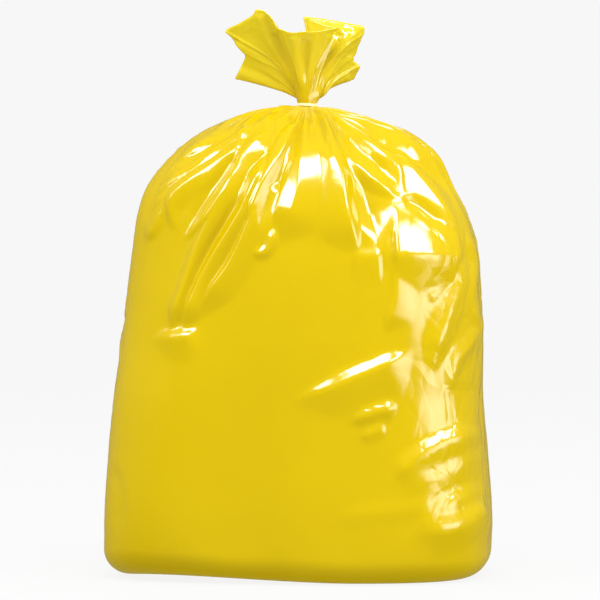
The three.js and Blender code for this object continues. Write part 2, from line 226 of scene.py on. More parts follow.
def body_rows():
    land_low = NECK_HEIGHT - LAND_HALF_HEIGHT
    stations = [(BODY_HALF_WIDTH, BODY_HALF_WIDTH, BASE_EDGE_RADIUS)]
    for share, left, right in OUTLINE:
        stations += [(left * BODY_HALF_WIDTH, right * BODY_HALF_WIDTH, share * NECK_HEIGHT)]
    stations += [(NECK_RADIUS - neck_x, NECK_RADIUS + neck_x, land_low)]
    dense = smooth_curve(stations, np.linspace(0, 1, 2001))
    way = evenly(dense)
    target = np.linspace(0.0, 1.0, BODY_ROWS) ** ROW_CROWDING
    profile = np.stack([np.interp(target, way, dense[:, axis]) for axis in range(3)], axis=-1)
    rows = []
    for left, right, height in profile:
        share = height / land_low
        fullness = ((left + right) / 2 - NECK_RADIUS) / (BODY_HALF_WIDTH - NECK_RADIUS)
        depth = NECK_RADIUS + fullness * (BODY_HALF_DEPTH - NECK_RADIUS)
        squareness = BASE_SQUARENESS + (SHOULDER_SQUARENESS - BASE_SQUARENESS) * smoothstep(share, 0.1, 0.8)
        squareness += (ROUND - squareness) * smoothstep(share, 0.7, 1.0)
        to_neck = smoothstep(share, 0.9, 1.0)
        angles = column_angle + (neck_angle - column_angle) * to_neck
        x, y = level_outline(angles, left, right, depth, squareness)
        grow = 1 + pleat_swell(angles, share) / ((left + right) / 2)
        middle = (right - left) / 2
        rows.append(np.stack([middle + (x - middle) * grow, y * grow, np.full(COLUMNS, height)], axis=-1))
    return rows


body = np.array(base_rows() + body_rows())
print("body grid", body.shape, "spans", np.ptp(body.reshape(-1, 3), axis=0).round(4))

# %% [markdown]
# ## Folds
# A sack's folds are tents of taut film. Each one has a sharp crest, starts at the neck where the film is
# gathered, and dies out where the body is full. A crest is drawn as a path with a height and a width on each
# side, and every point of the film near the path is raised. The folds on the front follow the photograph, so
# their paths are pixels. The folds round the back are the same kind of crest, drawn with a seeded random choice.

# %% Measure how far a point is from a path
def along_path(places, path):
    """For each place: its distance from the path, its side of the path, and its share of the path's way."""
    path = smooth_curve(path, np.linspace(0, 1, 6 * len(path)))
    share = evenly(path)
    best = np.full(len(places), np.inf)
    side = np.zeros(len(places))
    way = np.zeros(len(places))
    for index in range(len(path) - 1):
        start, step = path[index], path[index + 1] - path[index]
        length = float(step @ step)
        if length < 1e-12:
            continue
        offset = places - start
        t = np.clip(offset @ step / length, 0.0, 1.0)
        miss = offset - t[:, None] * step
        distance = np.hypot(miss[:, 0], miss[:, 1])
        nearer = distance < best
        best[nearer] = distance[nearer]
        side[nearer] = np.sign(step[0] * offset[:, 1] - step[1] * offset[:, 0])[nearer]
        way[nearer] = (share[index] + t * (share[index + 1] - share[index]))[nearer]
    return best, side, way


# %% Shape a crest
CREST_ROUNDING = 1.4  # pixels: how blunt a crest is
FOOT_ROUNDING = 0.12  # share of the height: how softly a flank meets the film below it


def crest(distance, side, way, height, widths, ends=(0.12, 0.3), converge=1.0):
    """A tent of film: two flat flanks that meet in a sharp crest, narrow and low at both its ends."""
    fade = smoothstep(way, -ends[0] * 0.5, ends[0]) * (1 - smoothstep(way, 1 - ends[1], 1.0))
    width = np.where(side < 0, widths[0], widths[1]) * (0.2 + 0.8 * fade) * converge
    height = height * converge ** 0.5
    blunt = np.sqrt(distance ** 2 + CREST_ROUNDING ** 2) - CREST_ROUNDING
    slope = 1 - blunt / width
    section = (slope + np.sqrt(slope ** 2 + FOOT_ROUNDING ** 2)) / 2
    section = section * (1 - smoothstep(blunt / width, 1.0, 1.6))
    return height * section * fade


# %% Name the folds on the front
# path in pixels, height in millimetres (below 0 is a crease), widths in pixels: for a fold that runs down the
# page the first width is its right flank, and for one that runs to the right it is its upper flank
FRONT_FOLDS = {
    "left_outer_ridge": dict(
        path=[(300, 108), (262, 120), (226, 136), (193, 155), (168, 174)],
        height=8, widths=(10, 9)),
    "left_rim_ridge": dict(
        path=[(298, 110), (250, 132), (206, 157), (172, 182), (152, 208)],
        height=9, widths=(12, 11)),
    "left_rim_crease": dict(
        path=[(286, 116), (240, 128), (192, 164), (150, 194)],
        height=-4, widths=(6, 6)),
    "left_beak": dict(
        path=[(204, 166), (178, 186), (158, 206), (148, 214)],
        height=4, widths=(7, 6)),
    "left_hook": dict(
        path=[(168, 198), (158, 222), (146, 244)],
        height=4, widths=(6, 8)),
    "left_loop_ridge": dict(
        path=[(250, 140), (214, 166), (184, 188), (172, 206), (176, 236)],
        height=9, widths=(12, 10)),
    "left_lobe_ridge": dict(
        path=[(268, 134), (244, 158), (224, 194), (204, 222), (180, 241)],
        height=11, widths=(14, 12)),
    "left_lobe_crease": dict(
        path=[(240, 158), (206, 196), (184, 236)],
        height=-4, widths=(7, 7)),
    "long_lobe_left": dict(
        path=[(240, 170), (216, 212), (199, 246), (186, 286), (175, 316), (174, 336)],
        height=10, widths=(12, 9), ends=(0.12, 0.18)),
    "long_lobe_right": dict(
        path=[(268, 160), (243, 211), (218, 252), (200, 284), (188, 318), (186, 336)],
        height=12, widths=(15, 11), ends=(0.12, 0.18)),
    "long_lobe_crease": dict(
        path=[(246, 196), (214, 244), (192, 292), (180, 326)],
        height=-4, widths=(6, 6)),
    "lobe_foot": dict(
        path=[(160, 337), (174, 338), (188, 336), (200, 328)],
        height=6, widths=(11, 24), ends=(0.4, 0.4)),
    "broad_band": dict(
        path=[(272, 170), (250, 226), (232, 264), (212, 292), (190, 326)],
        height=11, widths=(20, 9)),
    "inner_left_ridge": dict(
        path=[(302, 112), (284, 150), (264, 186), (251, 216), (247, 248)],
        height=13, widths=(12, 11)),
    "inner_left_pocket": dict(
        path=[(298, 124), (284, 160), (268, 200), (262, 236)],
        height=-7, widths=(10, 10)),
    "inner_left_lip": dict(
        path=[(246, 248), (260, 253), (270, 246), (276, 224)],
        height=5, widths=(7, 7)),
    "neck_crease_left": dict(
        path=[(305, 108), (297, 134), (291, 168)],
        height=-7, widths=(8, 8)),
    "neck_crease_middle": dict(
        path=[(309, 108), (311, 130), (312, 152)],
        height=-5, widths=(6, 6)),
    "neck_crease_right": dict(
        path=[(312, 108), (322, 134), (331, 164)],
        height=-7, widths=(8, 8)),
    "centre_left_edge": dict(
        path=[(306, 112), (302, 150), (298, 190), (290, 218), (276, 246)],
        height=11, widths=(34, 26)),
    "centre_right_edge": dict(
        path=[(318, 112), (332, 140), (341, 170), (346, 208), (354, 238), (360, 262)],
        height=10, widths=(9, 38)),
    "centre_brow": dict(
        path=[(296, 160), (314, 162), (332, 168), (350, 184)],
        height=2.5, widths=(20, 60), ends=(0.15, 0.15)),
    "right_pocket_crease": dict(
        path=[(326, 112), (352, 150), (366, 190), (376, 226), (378, 250)],
        height=-12, widths=(20, 20)),
    "right_pocket_lip": dict(
        path=[(352, 256), (368, 257), (384, 256)],
        height=3.5, widths=(9, 30), ends=(0.2, 0.2)),
    "right_fan_upper": dict(
        path=[(328, 110), (352, 128), (380, 150), (398, 168), (403, 198)],
        height=7, widths=(9, 8)),
    "right_fan_lower": dict(
        path=[(324, 111), (343, 143), (366, 171), (390, 193), (403, 199)],
        height=7, widths=(9, 8)),
    "right_fan_crease": dict(
        path=[(334, 118), (362, 146), (396, 186)],
        height=-4, widths=(6, 6)),
    "right_top_crease": dict(
        path=[(334, 110), (370, 134), (402, 150), (430, 168), (460, 208)],
        height=-6, widths=(7, 7)),
    "right_top_ridge": dict(
        path=[(330, 108), (372, 126), (410, 142), (444, 168), (468, 206)],
        height=6, widths=(10, 8)),
    "right_shoulder_ridge": dict(
        path=[(394, 150), (416, 176), (440, 206), (456, 234), (468, 258)],
        height=7, widths=(10, 12)),
    "right_patch_loop": dict(
        path=[(405, 198), (420, 206), (434, 220), (442, 232)],
        height=-4, widths=(6, 6)),
    "right_patch_step": dict(
        path=[(392, 256), (412, 256), (438, 256), (466, 259)],
        height=11, widths=(46, 34), ends=(0.06, 0.2)),
    "right_flank_ridge": dict(
        path=[(444, 236), (458, 278), (452, 304), (440, 336), (430, 380)],
        height=6, widths=(13, 16)),
    "right_edge_ridge": dict(
        path=[(466, 234), (474, 262), (470, 300), (478, 330), (474, 360)],
        height=4, widths=(7, 7)),
    "right_edge_fan": dict(
        path=[(484, 318), (470, 342), (456, 362), (448, 398)],
        height=4, widths=(7, 8)),
    "flank_step": dict(
        path=[(394, 258), (395, 292), (388, 320), (384, 336)],
        height=5, widths=(22, 5)),
    "flank_blob": dict(
        path=[(428, 298), (444, 290), (460, 284)],
        height=2.5, widths=(7, 9)),
    "slash_upper": dict(
        path=[(306, 396), (330, 389), (358, 377), (384, 366), (414, 350)],
        height=8, widths=(12, 34), ends=(0.35, 0.3)),
    "slash_middle": dict(
        path=[(352, 420), (376, 412), (400, 405)],
        height=6.0, widths=(9, 11), ends=(0.3, 0.3)),
    "slash_lower": dict(
        path=[(360, 436), (374, 431), (388, 426)],
        height=3.6, widths=(5, 10), ends=(0.3, 0.3)),
    "corner_ray_upper": dict(
        path=[(396, 476), (420, 456), (450, 440), (490, 430)],
        height=6, widths=(12, 24)),
    "corner_ray_lower": dict(
        path=[(400, 478), (436, 476), (466, 460), (490, 444)],
        height=3, widths=(8, 18)),
    "corner_triangle_top": dict(
        path=[(418, 526), (444, 508), (468, 496), (490, 488)],
        height=4, widths=(12, 14)),
    "corner_triangle_base": dict(
        path=[(418, 530), (446, 527), (468, 520), (486, 500)],
        height=9.5, widths=(16, 26), ends=(0.3, 0.2)),
    "corner_faint": dict(
        path=[(340, 517), (380, 513), (424, 508), (452, 500)],
        height=2, widths=(8, 8)),
    "low_left_crease": dict(
        path=[(112, 468), (120, 500), (118, 540)],
        height=-2, widths=(8, 8)),
}


# %% Raise the folds on the front
def surface_normals(grid):
    along = np.roll(grid, -1, axis=1) - np.roll(grid, 1, axis=1)
    upward = np.gradient(grid, axis=0)
    normals = np.cross(along, upward)
    return normals / np.maximum(np.linalg.norm(normals, axis=-1, keepdims=True), 1e-12)


FACING_EDGE = (-0.05, 0.25)  # how far the film must turn to the front to take part in these folds
FOLD_MARGIN = 4  # pixels
TIE_PIXEL = (308, 106)
CONVERGE_REACH = 44  # pixels from the tie within which the folds draw together
normals = surface_normals(body)
pixels = photo_pixel(body)
facing = smoothstep(-normals[..., 1], *FACING_EDGE)
neck_distance = np.hypot(pixels[..., 0] - TIE_PIXEL[0], pixels[..., 1] - TIE_PIXEL[1])
converge = np.clip(neck_distance / CONVERGE_REACH, 0.1, 1.0).ravel()

lift = np.zeros(body.shape[:2])
creases = np.zeros(body.shape[:2])
flat_pixels = pixels.reshape(-1, 2)
for fold in FRONT_FOLDS.values():
    path = np.array(fold["path"], float)
    reach = 1.8 * max(fold["widths"]) + FOLD_MARGIN
    low, high = path.min(axis=0) - reach, path.max(axis=0) + reach
    near = ((flat_pixels > low) & (flat_pixels < high)).all(axis=1) & (facing.ravel() > 0)
    distance, side, way = along_path(flat_pixels[near], path)
    ends = fold.get("ends", (0.12, 0.3))
    raised = crest(distance, side, way, abs(fold["height"]), fold["widths"], ends, converge[near])
    raised = raised * facing.ravel()[near]
    layer = lift if fold["height"] > 0 else creases
    flat = layer.reshape(-1)
    flat[near] = np.maximum(flat[near], raised)
lift -= creases
print("front folds:", len(FRONT_FOLDS), "lift", lift.min().round(1), "to", lift.max().round(1), "mm")

# %% [markdown]
# ## Pleats, creases and sway
# Where a tie gathers film, the spare width folds into pleats that fan out from the neck. The flanks and the back
# also carry slanting creases from filling and handling, and no film hangs perfectly even. One by one these don't
# matter, so a seeded random choice draws them, the same on each run.

# %% Gather pleats round the neck
SEED = 8
BACK_EDGE = (-0.1, 0.22)  # how far the film must turn away from the front to count as the back
rng = np.random.default_rng(SEED)
side_steps = np.linalg.norm(np.diff(body[:, 0], axis=0), axis=1)
up_the_side = np.concatenate([[0], np.cumsum(side_steps)])
down_from_neck = (up_the_side[-1] - up_the_side)[:, None] * 1000 * np.ones((1, COLUMNS))
centre = body.mean(axis=1, keepdims=True)
radius = np.hypot(body[..., 0] - centre[..., 0], body[..., 1] - centre[..., 1]) * 1000
azimuth = np.arctan2(body[..., 1] - centre[..., 1], body[..., 0] - centre[..., 0])
backness = 1 - smoothstep(-normals[..., 1], *BACK_EDGE)


WIDEST_CLIMB = 16  # millimetres of width beyond which a pleat grows no higher
RAISED_CHANCE = 0.6  # the other pleats are creases


def gather(pleats, lengths, shares, steepness):
    """Crests that fan out from the neck: each is as wide as a share of the body's radius at its height."""
    raised = np.zeros(body.shape[:2])
    sunk = np.zeros(body.shape[:2])
    for number in range(pleats):
        start = (number + rng.uniform(-0.35, 0.35)) * 2 * np.pi / pleats
        length = rng.uniform(*lengths)
        bend = rng.uniform(-0.0007, 0.0007) * down_from_neck
        turn = (azimuth - start - bend + np.pi) % (2 * np.pi) - np.pi
        width = rng.uniform(*shares) * radius
        way = np.clip(down_from_neck / length, 0, 1)
        tent = np.maximum(0, 1 - np.abs(turn) * radius / width) * (1 - smoothstep(way, 0.35, 1.0))
        height = steepness * np.minimum(width, WIDEST_CLIMB) * tent
        if rng.random() < RAISED_CHANCE:
            raised = np.maximum(raised, height)
        else:
            sunk = np.maximum(sunk, height)
    return raised - sunk


NECK_PLEATS = 36
NECK_PLEAT_LENGTHS = (90, 230)  # millimetres down the side
NECK_PLEAT_SHARE = 0.8  # how much of their height the other folds leave them
BACK_PLEATS = 30
BACK_PLEAT_LENGTHS = (140, 330)
neck_gather = gather(NECK_PLEATS, NECK_PLEAT_LENGTHS, (0.07, 0.15), 0.8)
back_gather = gather(BACK_PLEATS, BACK_PLEAT_LENGTHS, (0.06, 0.12), 0.42) * backness
lift += NECK_PLEAT_SHARE * neck_gather + back_gather
print("gathers lift", back_gather.min().round(1), "to", back_gather.max().round(1), "mm")

# %% Crumple the flanks and the back
SLASHES = 60
SLASH_LENGTHS = (40, 150)  # millimetres
SLASH_WIDTHS = (5, 13)
SLASH_HEIGHTS = (1.2, 3.6)
around = np.concatenate(
    [np.zeros((len(body), 1)), np.cumsum(np.linalg.norm(np.diff(body, axis=1), axis=2), axis=1)], axis=1
) * 1000
slash_lift = np.zeros_like(lift)
for number in range(SLASHES):
    row = rng.integers(BASE_ROWS + 6, len(body) - 50)
    column = rng.integers(0, COLUMNS)
    tilt = rng.normal(0.5, 0.5) * rng.choice([-1, 1])
    length = rng.uniform(*SLASH_LENGTHS)
    width = rng.uniform(*SLASH_WIDTHS)
    height = rng.uniform(*SLASH_HEIGHTS) * rng.choice([-1, 1])
    sideways = around - around[row, column]
    girth = around[row].max()
    sideways = (sideways + girth / 2) % girth - girth / 2
    downward = down_from_neck - down_from_neck[row, column]
    along = sideways * math.cos(tilt) + downward * math.sin(tilt)
    across = -sideways * math.sin(tilt) + downward * math.cos(tilt)
    way = np.clip(along / length + 0.5, 0, 1)
    flanks = (width * 0.6, width)
    slash_lift += crest(np.abs(across), np.sign(across), way, height, flanks, ends=(0.45, 0.45))
lift += slash_lift * backness
print("slashes:", SLASHES, "lift", slash_lift.min().round(1), "to", slash_lift.max().round(1), "mm")

# %% Let the film hang a little unevenly
SWAY_WAVES = 9
SWAY_SIZE = 0.55  # millimetres
sway = np.zeros_like(lift)
for number in range(SWAY_WAVES):
    cycles = rng.integers(1, 7)
    height = rng.uniform(60, 190)
    size = rng.normal(0, SWAY_SIZE)
    round_the_sack = np.sin(cycles * azimuth + rng.uniform(0, 6.3))
    down_the_sack = np.sin(down_from_neck / height + rng.uniform(0, 6.3))
    sway += size * round_the_sack * down_the_sack
lift += sway

base_calm = smoothstep(body[..., 2], 0.004, 0.05)
neck_calm = smoothstep(down_from_neck, 0, 10 + 20 * backness)
body = body + normals * (lift * base_calm * neck_calm / 1000)[..., None]
body[..., 2] = np.maximum(body[..., 2], 0.0)

# the hem of the base curls up a little towards the left of the front
HEM_CURL = 0.012
low_part = 1 - smoothstep(body[..., 2], 0.0, 0.16)
leftward = 1 - smoothstep(body[..., 0], -0.24, 0.08)
body[..., 2] += HEM_CURL * low_part * leftward * smoothstep(-body[..., 1], -0.02, 0.16)
print("body after the folds", np.ptp(body.reshape(-1, 3), axis=0).round(4))

# %% [markdown]
# ## The ruffle above the tie
# Above the tie the tube opens again into a loose ruffle with a cut rim. Its rim is drawn as one closed line with
# the folds that the photograph shows: a wide panel on the left, a sharp pleat on the right and a second layer
# behind it. Each column of the film climbs from the neck to its place on the rim, steeply at first.

# %% Draw the rim
RUFFLE_HALF_WIDTH = 0.09
RUFFLE_HALF_DEPTH = 0.056
RUFFLE_HEIGHT = 0.123
FILM_THICKNESS = 0.0007
RUFFLE_SPREAD = 1.35
RUFFLE_CLIMB = 0.66

# shares of half the width, of half the depth and of the height, from the upper left tip round by the front
RIM = [
    (-1.18, -0.14, 0.787), (-0.98, -0.34, 0.861), (-0.79, -0.5, 0.946), (-0.74, -0.57, 1.0),
    (-0.6, -0.62, 0.979), (-0.51, -0.66, 0.904), (-0.44, -0.72, 0.819), (-0.25, -0.83, 0.757),
    (-0.05, -0.89, 0.766), (0.19, -0.84, 0.776), (0.46, -0.58, 0.819), (0.32, -0.36, 0.84),
    (0.16, -0.18, 0.88), (0.02, -0.02, 0.92), (-0.05, 0.12, 0.936), (0.12, 0.2, 0.925),
    (0.33, 0.16, 0.904), (0.6, 0.06, 0.865), (0.82, 0.0, 0.829), (0.8, 0.13, 0.73),
    (0.75, 0.24, 0.638), (0.71, 0.34, 0.542), (0.66, 0.4, 0.478), (0.77, 0.5, 0.414),
    (0.72, 0.62, 0.33), (0.66, 0.72, 0.27), (0.5, 0.8, 0.36), (0.3, 0.76, 0.52),
    (0.1, 0.86, 0.66), (-0.1, 1.0, 0.73), (-0.28, 0.84, 0.69), (-0.46, 0.92, 0.62),
    (-0.68, 0.86, 0.5), (-0.9, 0.72, 0.36), (-1.05, 0.5, 0.276), (-0.96, 0.3, 0.414),
    (-0.9, 0.13, 0.532), (-1.0, 0.02, 0.62), (-1.1, -0.06, 0.71),
]
rim_sizes = np.array([RUFFLE_HALF_WIDTH, RUFFLE_HALF_DEPTH, RUFFLE_HEIGHT])
rim_middle = np.array([neck_x, 0.0, NECK_HEIGHT])
rim = rim_middle + rim_sizes * smooth_curve(RIM, column_share, closed=True)
print("rim length", np.linalg.norm(np.diff(rim, axis=0), axis=1).sum().round(3), "m")

# %% Loft the ruffle, outside and inside
neck_ring = np.stack([
    neck_x + NECK_RADIUS * np.cos(neck_angle),
    NECK_RADIUS * np.sin(neck_angle),
    np.full(COLUMNS, NECK_HEIGHT),
], axis=-1)


def ruffle_row(share):
    foot = neck_ring + [0, 0, LAND_HALF_HEIGHT]
    row = foot.copy()
    row[:, :2] += (rim[:, :2] - foot[:, :2]) * share ** RUFFLE_SPREAD
    row[:, 2] += (rim[:, 2] - foot[:, 2]) * share ** RUFFLE_CLIMB
    return row


outside = np.array([ruffle_row(share) for share in np.linspace(0.0, 1.0, RUFFLE_ROWS)])
print("ruffle rows", outside.shape)

# %% Pleat the ruffle
RUFFLE_FOLDS = {
    "left_panel_crest": dict(
        path=[(305, 103), (288, 84), (264, 62), (234, 42)],
        height=3, widths=(6, 6)),
    "left_panel_crease": dict(
        path=[(305, 102), (286, 76), (264, 50), (246, 28)],
        height=-2.5, widths=(6, 6)),
    "tip_crest": dict(
        path=[(306, 100), (286, 66), (270, 40), (260, 14)],
        height=3, widths=(6, 7)),
    "panel_crease": dict(
        path=[(307, 102), (294, 74), (284, 52), (276, 32)],
        height=-3, widths=(5, 5)),
    "centre_crest": dict(
        path=[(307, 103), (301, 80), (297, 58), (294, 36)],
        height=4, widths=(6, 5)),
    "centre_crease": dict(
        path=[(308, 103), (306, 76), (306, 40)],
        height=-3, widths=(5, 5)),
    "pale_crest": dict(
        path=[(309, 103), (314, 78), (322, 56), (330, 34)],
        height=4, widths=(6, 9)),
    "stripe_crease": dict(
        path=[(311, 102), (320, 74), (330, 50), (340, 32)],
        height=-4, widths=(5, 5)),
    "stripe_crest": dict(
        path=[(313, 102), (328, 72), (342, 46), (351, 30)],
        height=3, widths=(6, 6)),
    "right_crumple_upper": dict(
        path=[(314, 101), (332, 74), (354, 58)],
        height=3, widths=(5, 5)),
    "right_crumple_lower": dict(
        path=[(314, 103), (328, 86), (350, 76)],
        height=3, widths=(5, 4)),
    "low_left_crest": dict(
        path=[(304, 104), (282, 90), (240, 72)],
        height=3, widths=(6, 6)),
}
RUFFLE_PLEATS = 18
NORMAL_BLUR = 4  # columns to each side over which the pleats' directions are evened out

turns_to_blur = range(-NORMAL_BLUR, NORMAL_BLUR + 1)
outside_normals = sum(np.roll(surface_normals(outside), step, axis=1) for step in turns_to_blur)
outside_normals = outside_normals / len(turns_to_blur)
ruffle_pixels = photo_pixel(outside).reshape(-1, 2)
ruffle_lift = np.zeros(len(ruffle_pixels))
for fold in RUFFLE_FOLDS.values():
    distance, side, way = along_path(ruffle_pixels, np.array(fold["path"], float))
    raised = crest(distance, side, way, fold["height"], fold["widths"], ends=(0.25, 0.02))
    ruffle_lift += raised
ruffle_lift = ruffle_lift.reshape(outside.shape[:2])
climb_share = np.linspace(0.0, 1.0, RUFFLE_ROWS)[:, None]
for number in range(RUFFLE_PLEATS):
    middle = (number + rng.uniform(-0.4, 0.4)) / RUFFLE_PLEATS
    width = rng.uniform(0.006, 0.014)
    height = rng.uniform(0.6, 1.8)
    offset = (column_share - middle + 0.02 * climb_share * rng.normal() + 0.5) % 1.0 - 0.5
    ruffle_lift += height * np.maximum(0, 1 - np.abs(offset) / width) * smoothstep(climb_share, 0.0, 0.25)
outside = outside + outside_normals * (ruffle_lift / 1000)[..., None]
inside = (outside - surface_normals(outside) * FILM_THICKNESS)[::-1][:MOUTH_ROWS]
film_grid = np.concatenate([body, [neck_ring], outside, inside])
print("film grid", film_grid.shape, "triangles", 2 * COLUMNS * len(film_grid))


# %% [markdown]
# ## From points to meshes
# The rows of points, from the base up to the rim and a little way down inside it, become one skin of four-sided
# faces. A sheet with some thickness at its rim looks like film from above too. Each point also keeps two values
# for the material: how crumpled the film is there, and whether it is a single layer, where the colour is painted
# lighter to stand in for light shining through the film.


# %% Skin a grid of points
def grid_mesh(name, grid, caps, attributes=None):
    """A closed skin over rows of points, with a fan to the given point at each end."""
    rows, columns = grid.shape[:2]
    vertices = list(map(tuple, grid.reshape(-1, 3)))
    row, column = np.meshgrid(np.arange(rows - 1), np.arange(columns), indexing="ij")
    here = row * columns + column
    right = row * columns + (column + 1) % columns
    faces = np.stack([here, right, right + columns, here + columns], axis=-1).reshape(-1, 4).tolist()
    first_cap, last_cap = len(vertices), len(vertices) + 1
    vertices += [tuple(caps[0]), tuple(caps[1])]
    top = (rows - 1) * columns
    for index in range(columns):
        after = (index + 1) % columns
        faces.append((first_cap, after, index))
        faces.append((last_cap, top + index, top + after))
    mesh = bpy.data.meshes.new(name)
    mesh.from_pydata(vertices, [], faces)
    mesh.polygons.foreach_set("use_smooth", [True] * len(mesh.polygons))
    for title, values in (attributes or {}).items():
        amount = np.concatenate([values.ravel(), [0.0, 0.0]])
        mesh.attributes.new(title, "FLOAT", "POINT").data.foreach_set("value", amount)
    piece = bpy.data.objects.new(name, mesh)
    bpy.context.scene.collection.objects.link(piece)
    return piece


# %% Crumple the film more where the photograph shows small creases
TAUT_CRUMPLE = 0.06  # on the taut front
BACK_CRUMPLE = 0.55
RUFFLE_CRUMPLE = 0.3
px, py = pixels[..., 0], pixels[..., 1]
front_amount = TAUT_CRUMPLE
below_shoulders = 1 - smoothstep(py, 150, 300)
front_amount = front_amount + 0.12 * below_shoulders * smoothstep(np.abs(px - 322), 26, 60)
in_patch = smoothstep(py, 190, 240) * (1 - smoothstep(py, 260, 360))
front_amount = front_amount + 0.15 * smoothstep(px, 385, 420) * in_patch
on_flank = smoothstep(py, 200, 260) * (1 - smoothstep(py, 500, 560))
front_amount = front_amount + 0.45 * smoothstep(px, 395, 450) * on_flank
body_crumple = front_amount * (1 - backness) + BACK_CRUMPLE * backness * smoothstep(body[..., 2], 0.02, 0.2)
print("crumple on the front", front_amount.min().round(2), "to", front_amount.max().round(2))

# %% Make the film
ruffle_rows = len(film_grid) - len(body)
climb = np.concatenate([[0.0], np.linspace(0.0, 1.0, RUFFLE_ROWS), np.ones(MOUTH_ROWS)])[:, None]
# how far the film's colour is painted lighter, standing in for light shining through the single layer; it rises
# over the lower part of the ruffle
single_layer = smoothstep(climb, 0.0, 0.4) * np.ones(COLUMNS)
film_attributes = {
    "crumple": np.concatenate([body_crumple, np.full((ruffle_rows, COLUMNS), RUFFLE_CRUMPLE)]),
    "single_layer": np.concatenate([np.zeros(body.shape[:2]), single_layer]),
}
mouth_middle = rim_middle + rim_sizes * np.array([-0.1, 0.09, 0.33])
film = grid_mesh("sack_film", film_grid, [(0.0, 0.0, 0.0), mouth_middle], film_attributes)
print("film faces", len(film.data.polygons))

# %% [markdown]
# ## The tie
# A narrow strip of pale yellow plastic closes the neck, its ends twisted together behind it. The strip is a small
# rounded section led round the neck, a little unevenly, as a strip wound by hand lies. The twisted ends are a
# short two-lobed rope, which a stack of turned rings draws well.

# %% Make the tie
TIE_RADIUS = 0.0128
TIE_HALF_WIDTH = 0.0017
TIE_HALF_THICKNESS = 0.0006
BAND_WAVE = 0.0004  # how far the wound strip strays from a true ring
BAND_STEPS = 96
CORNER_SHARPNESS = 0.6  # of the strip's section: 1 is an ellipse, 0 a box


def hoop_mesh(name, path, section):
    """A strip of the given section round a closed path, with its section's width kept upright."""
    count, sides = len(path), len(section)
    tangent = np.roll(path, -1, axis=0) - np.roll(path, 1, axis=0)
    tangent /= np.linalg.norm(tangent, axis=1, keepdims=True)
    outward = np.cross(tangent, np.array([0.0, 0.0, 1.0]))
    outward /= np.maximum(np.linalg.norm(outward, axis=1, keepdims=True), 1e-9)
    upward = np.cross(outward, tangent)
    rows = path[:, None] + outward[:, None] * section[:, :1] + upward[:, None] * section[:, 1:]
    faces = []
    for index in range(count):
        here, after = index * sides, (index + 1) % count * sides
        for side in range(sides):
            other = (side + 1) % sides
            faces.append((here + side, here + other, after + other, after + side))
    mesh = bpy.data.meshes.new(name)
    mesh.from_pydata(list(map(tuple, rows.reshape(-1, 3))), [], faces)
    mesh.polygons.foreach_set("use_smooth", [True] * len(mesh.polygons))
    piece = bpy.data.objects.new(name, mesh)
    bpy.context.scene.collection.objects.link(piece)
    return piece


turns = np.linspace(0, 2 * np.pi, BAND_STEPS, endpoint=False)
wave = BAND_WAVE * np.sin(3 * turns + 0.6)
band_path = np.stack([
    neck_x + (TIE_RADIUS + wave) * np.cos(turns),
    (TIE_RADIUS + wave) * np.sin(turns),
    NECK_HEIGHT + BAND_WAVE * np.sin(2 * turns),
], axis=-1)
corner = np.linspace(0, 2 * np.pi, 12, endpoint=False)
band_section = np.stack([
    TIE_HALF_THICKNESS * np.sign(np.cos(corner)) * np.abs(np.cos(corner)) ** CORNER_SHARPNESS,
    TIE_HALF_WIDTH * np.sign(np.sin(corner)) * np.abs(np.sin(corner)) ** CORNER_SHARPNESS,
], axis=-1)
tie = hoop_mesh("tie_band", band_path, band_section)
print("tie faces", len(tie.data.polygons))

# %% Twist the ends of the tie together
TAIL_LENGTH = 0.014
TAIL_RADII = (0.0032, 0.0025)
TAIL_RISE = math.radians(24.0)
TAIL_STEPS = 40
TAIL_TURNS = 3.5
TAIL_SIDES = 24
TAIL_WAIST = 0.62  # how thin the two wound strips are between their backs, as a share of the radius
tail_share = np.linspace(0.0, 1.0, TAIL_STEPS)
tail_out = TIE_RADIUS - 0.001 + TAIL_LENGTH * math.cos(TAIL_RISE) * tail_share
tail_up = NECK_HEIGHT + TAIL_LENGTH * math.sin(TAIL_RISE) * tail_share
tail_rings = []
for step in range(TAIL_STEPS):
    radius = TAIL_RADII[0] + (TAIL_RADII[1] - TAIL_RADII[0]) * tail_share[step]
    spin = TAIL_TURNS * 2 * np.pi * tail_share[step]
    turn = np.linspace(0, 2 * np.pi, TAIL_SIDES, endpoint=False)
    lobed = radius * (TAIL_WAIST + (1 - TAIL_WAIST) * np.abs(np.cos(turn - spin)))
    x = neck_x + lobed * np.cos(turn)
    y = tail_out[step] - lobed * np.sin(turn) * math.sin(TAIL_RISE)
    z = tail_up[step] + lobed * np.sin(turn) * math.cos(TAIL_RISE)
    tail_rings.append(np.stack([x, y, z], axis=-1))
tail_grid = np.array(tail_rings)[::-1]
tie_tail = grid_mesh("tie_tail", tail_grid, [tail_grid[0].mean(axis=0), tail_grid[-1].mean(axis=0)])
print("twisted ends", tail_grid.shape)

# %% [markdown]
# ## Materials
# The film is polyethylene with a strong yellow pigment. It is glossy and lets a little light in. Where it is
# crumpled it breaks into small flat facets with sharp creases between them. One principled shader does this: a low
# roughness for the sharp reflections, some light under the surface, and two sizes of cells as a bump. A value
# stored on each point of the mesh says how crumpled it is there, and another where the film is a single layer;
# there the base colour is a painted lighter yellow that stands in for light shining through the film.


# %% Mix the yellow film
def new_material(name):
    material = bpy.data.materials.new(name)
    material.use_nodes = True
    return material, material.node_tree.nodes, material.node_tree.links


